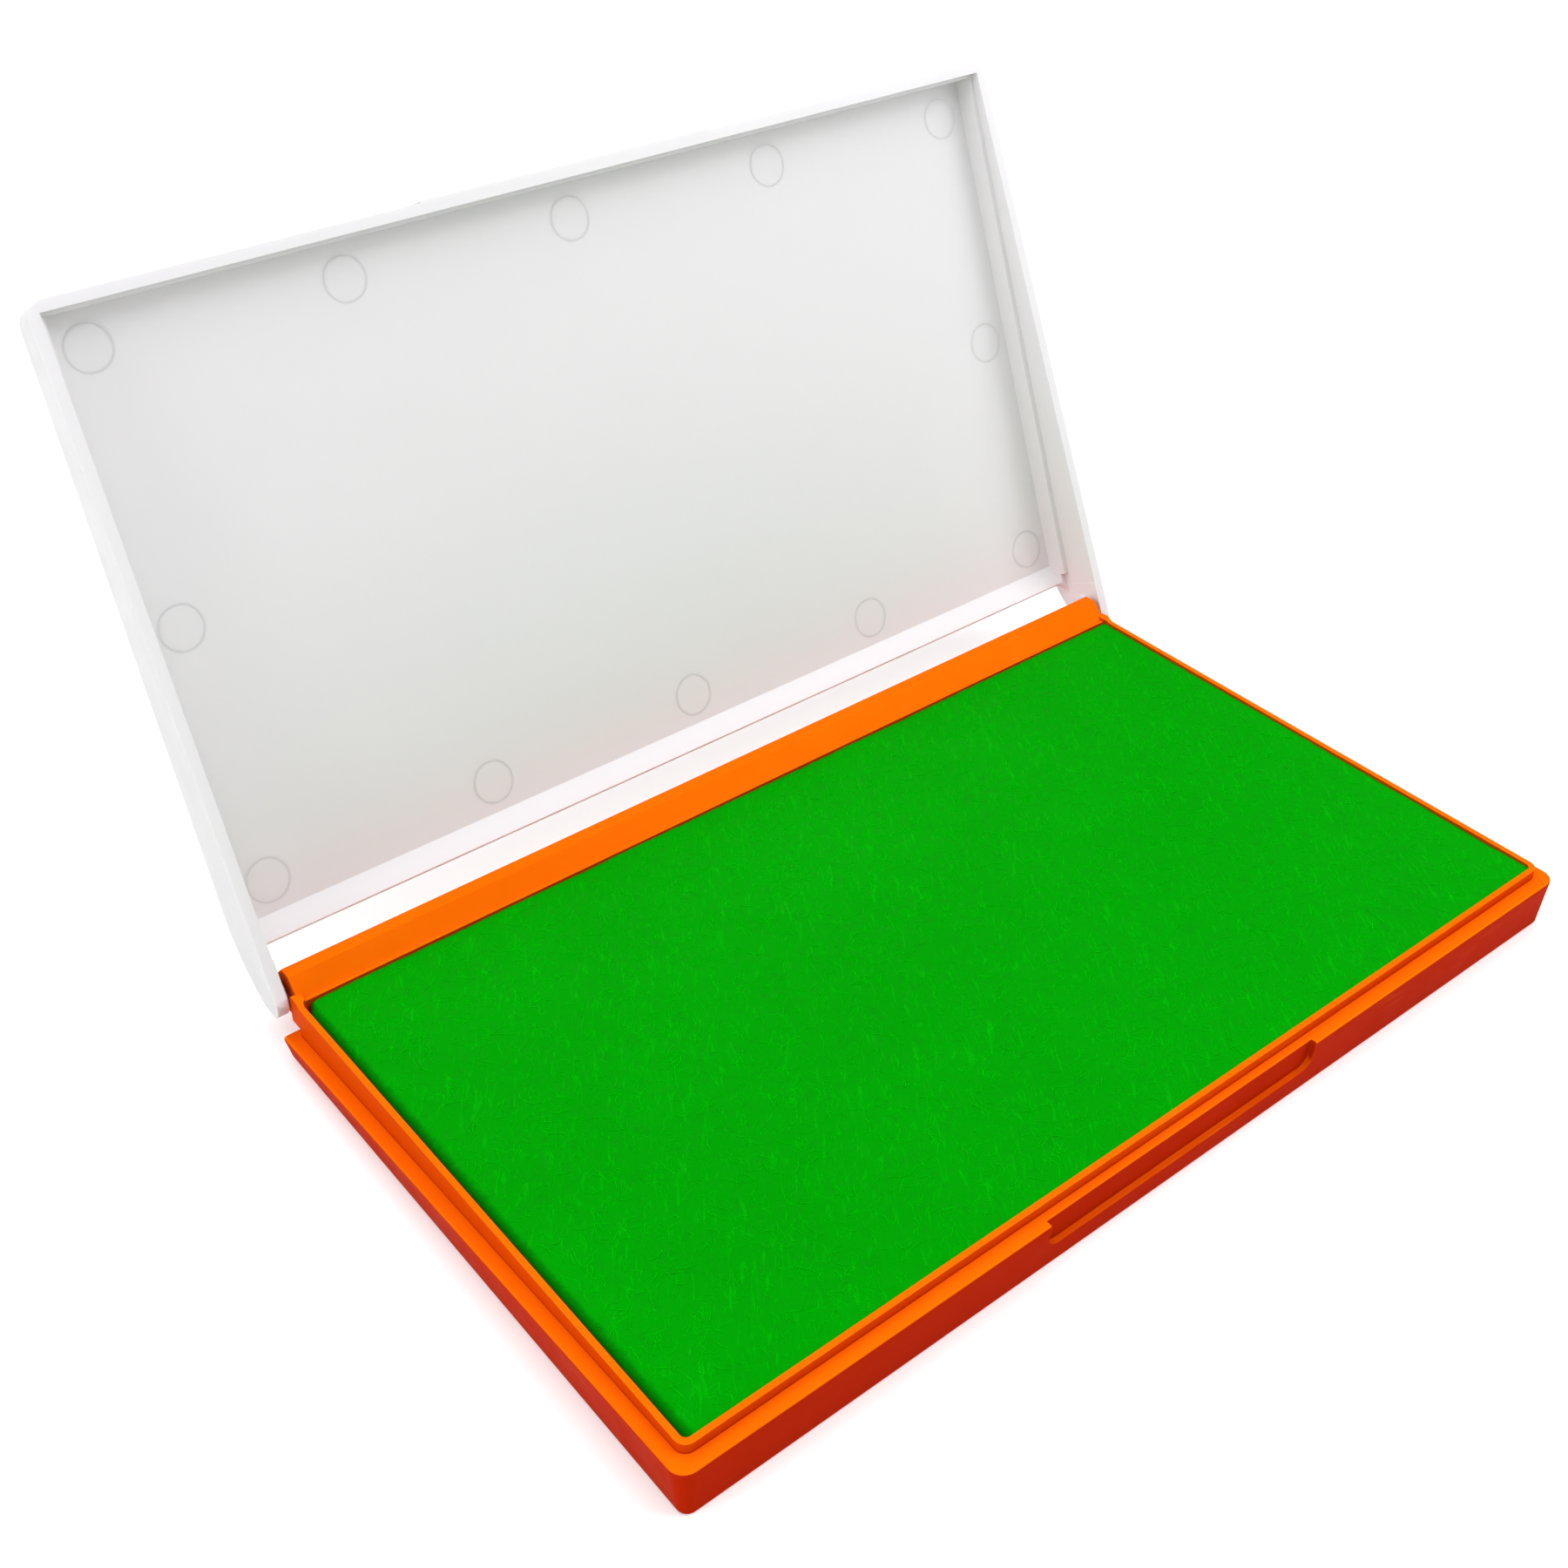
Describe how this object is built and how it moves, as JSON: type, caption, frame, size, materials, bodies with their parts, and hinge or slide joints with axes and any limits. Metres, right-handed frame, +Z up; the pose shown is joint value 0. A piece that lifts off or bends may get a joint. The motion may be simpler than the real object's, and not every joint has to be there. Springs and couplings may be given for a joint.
{
  "type": "stamp ink pad",
  "caption": "Open stamp ink pad: a shallow rectangular tray with a felt pad and a wedge-shaped lid on a snap-in hinge bar.",
  "frame": {"origin": "on the tray's flat underside, midway along its length and 28.55 mm behind its front edge", "axes": "+X along the long side, +Y towards the hinge, +Z up"},
  "size_m": [0.0942, 0.0799, 0.0559],
  "materials": {
    "tray_plastic": "satin",
    "felt": "fibrous, inked",
    "lid_plastic": "satin"
  },
  "bodies": {
    "tray_body": {"base_tray": "tray_plastic", "felt_pad": "felt"},
    "lid_body": {"lid": "lid_plastic"}
  },
  "joints": [
    {"name": "lid_hinge", "type": "hinge", "parent": "tray_body", "child": "lid_body", "pos_m": [0, 0.02648, 0.00486], "axis": [1, 0, 0], "range_deg": [0, 113]}
  ]
}
